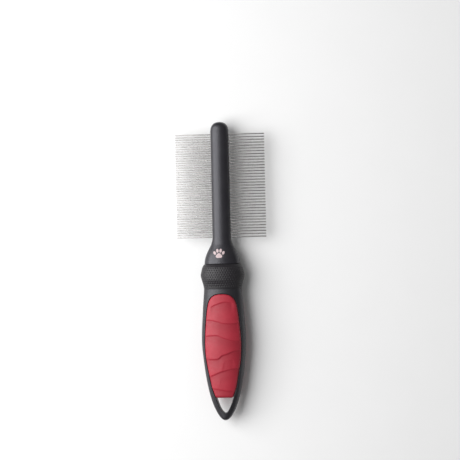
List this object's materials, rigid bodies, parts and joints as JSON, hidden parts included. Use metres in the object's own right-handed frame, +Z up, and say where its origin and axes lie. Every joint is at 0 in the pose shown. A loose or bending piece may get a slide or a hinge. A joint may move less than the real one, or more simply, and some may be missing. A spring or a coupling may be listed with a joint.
{
  "type": "two-sided grooming comb",
  "caption": "Two-sided pet comb: fine steel teeth on one side of a slim spine, medium teeth on the other, a bulging thumb collar and a soft-grip handle with a hanging hole.",
  "frame": {"origin": "on the table that the comb lies on, under the middle of its bounding box", "axes": "+Y along the comb to the tip of the spine, +X to the medium teeth, +Z up out of its front"},
  "size_m": [0.0664, 0.22, 0.0214],
  "materials": {
    "tooth_steel": "bright drawn stainless wire, polished tips",
    "nylon": "plain moulded nylon, unseen inside the spine",
    "spine_plastic": "satin charcoal plastic",
    "handle_plastic": "satin black plastic",
    "collar_rubber": "black soft rubber with small dimples",
    "grip_rubber": "red soft rubber with low overlapping waves"
  },
  "bodies": {
    "root": {"fine_tooth_pair_01": "tooth_steel", "fine_tooth_pair_02": "tooth_steel", "fine_tooth_pair_03": "tooth_steel", "fine_tooth_pair_04": "tooth_steel", "fine_tooth_pair_05": "tooth_steel", "fine_tooth_pair_06": "tooth_steel", "fine_tooth_pair_07": "tooth_steel", "fine_tooth_pair_08": "tooth_steel", "fine_tooth_pair_09": "tooth_steel", "fine_tooth_pair_10": "tooth_steel", "fine_tooth_pair_11": "tooth_steel", "fine_tooth_pair_12": "tooth_steel", "fine_tooth_pair_13": "tooth_steel", "fine_tooth_pair_14": "tooth_steel", "fine_tooth_pair_15": "tooth_steel", "fine_tooth_pair_16": "tooth_steel", "fine_tooth_pair_17": "tooth_steel", "fine_tooth_pair_18": "tooth_steel", "fine_tooth_pair_19": "tooth_steel", "fine_tooth_pair_20": "tooth_steel", "fine_tooth_pair_21": "tooth_steel", "fine_tooth_pair_22": "tooth_steel", "fine_end_tooth": "tooth_steel", "medium_tooth_pair_01": "tooth_steel", "medium_tooth_pair_02": "tooth_steel", "medium_tooth_pair_03": "tooth_steel", "medium_tooth_pair_04": "tooth_steel", "medium_tooth_pair_05": "tooth_steel", "medium_tooth_pair_06": "tooth_steel", "medium_tooth_pair_07": "tooth_steel", "medium_tooth_pair_08": "tooth_steel", "medium_tooth_pair_09": "tooth_steel", "medium_tooth_pair_10": "tooth_steel", "medium_tooth_pair_11": "tooth_steel", "medium_tooth_pair_12": "tooth_steel", "medium_tooth_pair_13": "tooth_steel", "medium_tooth_pair_14": "tooth_steel", "medium_tooth_pair_15": "tooth_steel", "medium_tooth_pair_16": "tooth_steel", "medium_tooth_pair_17": "tooth_steel", "medium_tooth_pair_18": "tooth_steel", "medium_end_tooth": "tooth_steel", "fine_tooth_rack": "nylon", "medium_tooth_rack": "nylon", "core_bar": "nylon", "spine_front_shell": "spine_plastic", "spine_back_shell": "spine_plastic", "handle_front_shell": "handle_plastic", "handle_back_shell": "handle_plastic", "thumb_collar": "collar_rubber", "front_grip": "grip_rubber", "back_grip": "grip_rubber"}
  },
  "joints": []
}
